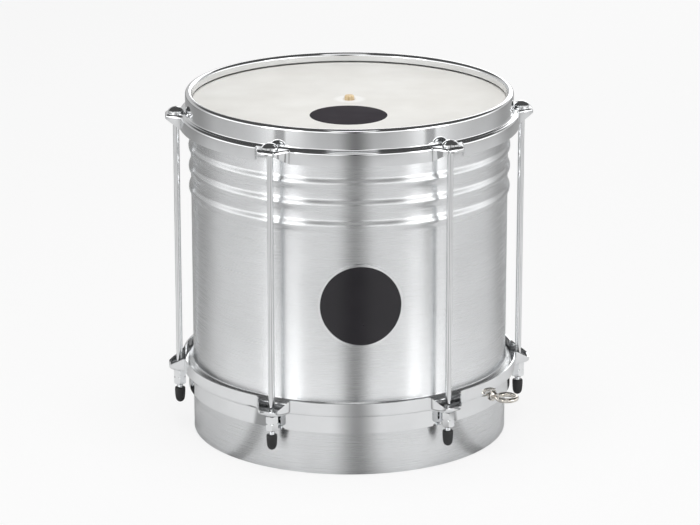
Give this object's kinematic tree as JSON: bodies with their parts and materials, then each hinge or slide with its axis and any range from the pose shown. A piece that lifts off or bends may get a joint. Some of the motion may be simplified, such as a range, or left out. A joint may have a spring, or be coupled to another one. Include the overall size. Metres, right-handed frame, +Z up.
{
  "type": "cuica",
  "caption": "Friction drum with an open metal shell, a goatskin head under bolted pressed hoops, and a bamboo stick inside tied to the head.",
  "frame": {"origin": "middle of the whole part's footprint, in the plane of the shell's open end", "axes": "+Z up along the axis of the drum, from the open end to the head; -Y towards the badge; +X across two opposite bolts"},
  "size_m": [0.294, 0.2716, 0.28],
  "materials": {
    "aluminium": "brushed round the shell",
    "chrome": "mirror chrome plate",
    "nickel": "bright nickel plate",
    "plain_steel": "zinc plated",
    "goatskin": "matt off-white skin",
    "black_rubber": "matt",
    "black_enamel": "gloss, bare",
    "bamboo": "scraped bamboo",
    "waxed_thread": "waxed thread"
  },
  "bodies": {
    "drum": {"shell": "aluminium", "head_skin": "goatskin", "flesh_hoop": "plain_steel", "top_hoop": "chrome", "lower_hoop": "chrome", "tension_rod_1": "chrome", "tension_rod_2": "chrome", "tension_rod_3": "chrome", "tension_rod_4": "chrome", "tension_rod_5": "chrome", "tension_rod_6": "chrome", "rod_cap_1": "black_rubber", "rod_cap_2": "black_rubber", "rod_cap_3": "black_rubber", "rod_cap_4": "black_rubber", "rod_cap_5": "black_rubber", "rod_cap_6": "black_rubber", "strap_eye": "nickel", "strap_eye_washer": "plain_steel", "strap_eye_nut": "plain_steel", "badge_plate": "chrome", "badge_inlay": "black_enamel"},
    "stick_body": {"stick": "bamboo", "stick_binding": "waxed_thread"},
    "washer_1": {"nut_washer_1": "plain_steel"},
    "nut_1": {"tuning_nut_1": "chrome"},
    "washer_2": {"nut_washer_2": "plain_steel"},
    "nut_2": {"tuning_nut_2": "chrome"},
    "washer_3": {"nut_washer_3": "plain_steel"},
    "nut_3": {"tuning_nut_3": "chrome"},
    "washer_4": {"nut_washer_4": "plain_steel"},
    "nut_4": {"tuning_nut_4": "chrome"},
    "washer_5": {"nut_washer_5": "plain_steel"},
    "nut_5": {"tuning_nut_5": "chrome"},
    "washer_6": {"nut_washer_6": "plain_steel"},
    "nut_6": {"tuning_nut_6": "chrome"}
  },
  "joints": [
    {"name": "nut_1_travel", "type": "slide", "parent": "drum", "child": "washer_1", "axis": [0, 0, -1], "range_m": [0, 0.0024]},
    {"name": "nut_1_turn", "type": "hinge", "parent": "washer_1", "child": "nut_1", "pos_m": [0.0692, -0.11986, 0.042], "axis": [0, 0, -1], "range_deg": [0, 1080]},
    {"name": "nut_2_travel", "type": "slide", "parent": "drum", "child": "washer_2", "axis": [0, 0, -1], "range_m": [0, 0.0024]},
    {"name": "nut_2_turn", "type": "hinge", "parent": "washer_2", "child": "nut_2", "pos_m": [0.1384, 0, 0.042], "axis": [0, 0, -1], "range_deg": [0, 1080]},
    {"name": "nut_3_travel", "type": "slide", "parent": "drum", "child": "washer_3", "axis": [0, 0, -1], "range_m": [0, 0.0024]},
    {"name": "nut_3_turn", "type": "hinge", "parent": "washer_3", "child": "nut_3", "pos_m": [0.0692, 0.11986, 0.042], "axis": [0, 0, -1], "range_deg": [0, 1080]},
    {"name": "nut_4_travel", "type": "slide", "parent": "drum", "child": "washer_4", "axis": [0, 0, -1], "range_m": [0, 0.0024]},
    {"name": "nut_4_turn", "type": "hinge", "parent": "washer_4", "child": "nut_4", "pos_m": [-0.0692, 0.11986, 0.042], "axis": [0, 0, -1], "range_deg": [0, 1080]},
    {"name": "nut_5_travel", "type": "slide", "parent": "drum", "child": "washer_5", "axis": [0, 0, -1], "range_m": [0, 0.0024]},
    {"name": "nut_5_turn", "type": "hinge", "parent": "washer_5", "child": "nut_5", "pos_m": [-0.1384, 0, 0.042], "axis": [0, 0, -1], "range_deg": [0, 1080]},
    {"name": "nut_6_travel", "type": "slide", "parent": "drum", "child": "washer_6", "axis": [0, 0, -1], "range_m": [0, 0.0024]},
    {"name": "nut_6_turn", "type": "hinge", "parent": "washer_6", "child": "nut_6", "pos_m": [-0.0692, -0.11986, 0.042], "axis": [0, 0, -1], "range_deg": [0, 1080]},
    {"name": "stick_push", "type": "slide", "parent": "drum", "child": "stick_body", "axis": [0, 0, 1], "range_m": [-0.002, 0.002], "stiffness_N_per_m": 2000}
  ],
  "couplings": [
    {"joint": "nut_1_travel", "follows": "nut_1_turn", "m_per_rad": 0.00012732},
    {"joint": "nut_2_travel", "follows": "nut_2_turn", "m_per_rad": 0.00012732},
    {"joint": "nut_3_travel", "follows": "nut_3_turn", "m_per_rad": 0.00012732},
    {"joint": "nut_4_travel", "follows": "nut_4_turn", "m_per_rad": 0.00012732},
    {"joint": "nut_5_travel", "follows": "nut_5_turn", "m_per_rad": 0.00012732},
    {"joint": "nut_6_travel", "follows": "nut_6_turn", "m_per_rad": 0.00012732}
  ]
}
